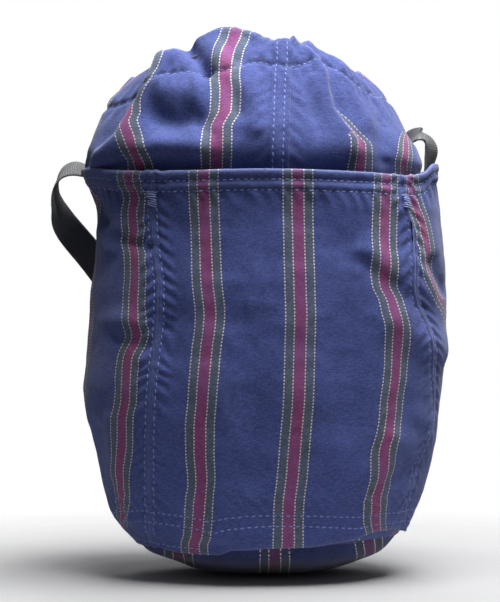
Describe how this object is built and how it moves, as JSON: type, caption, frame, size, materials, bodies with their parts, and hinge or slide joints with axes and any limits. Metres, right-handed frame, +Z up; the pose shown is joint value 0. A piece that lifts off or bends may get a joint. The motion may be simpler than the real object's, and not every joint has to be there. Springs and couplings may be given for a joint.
{
  "type": "drawstring shoulder bag",
  "caption": "Soft striped cotton sack with a gathered drawcord mouth, an outer sleeve of open pockets and a webbing shoulder strap hanging behind.",
  "frame": {"origin": "centre of the flat contact face under the base panel", "axes": "+Z up through the mouth, front pocket faces -Y, +X to the right seen from the front"},
  "size_m": [0.2476, 0.1778, 0.341],
  "materials": {
    "cotton_twill": "washed matt twill with woven stripes",
    "binding_tape": "matt cotton tape",
    "thread": "spun thread",
    "webbing": "ribbed matt webbing",
    "slider_plastic": "moulded, satin",
    "cord": "braided cord",
    "eyelet_brass": "antiqued, worn satin"
  },
  "bodies": {
    "bag": {"body_panel_left": "cotton_twill", "body_panel_right": "cotton_twill", "base_panel": "cotton_twill", "base_binding_tape": "binding_tape", "front_pocket": "cotton_twill", "back_pocket": "cotton_twill", "left_side_pocket": "cotton_twill", "right_side_pocket": "cotton_twill", "bar_tacks": "thread", "strap_end_left": "webbing", "strap_end_right": "webbing", "drawcord": "cord", "drawcord_knots": "cord", "eyelet_left": "eyelet_brass", "eyelet_right": "eyelet_brass"},
    "strap": {"strap_webbing": "webbing"},
    "slider": {"strap_slider": "slider_plastic"}
  },
  "joints": [
    {"name": "strap_swing", "type": "hinge", "parent": "bag", "child": "strap", "pos_m": [-0.122, 0.008, 0.257], "axis": [0.9926, 0.0544, 0.1088], "range_deg": [0, 140]},
    {"name": "slider_slide", "type": "slide", "parent": "strap", "child": "slider", "axis": [0.3806, -0.0272, 0.9243], "range_m": [-0.018, 0.018]}
  ]
}
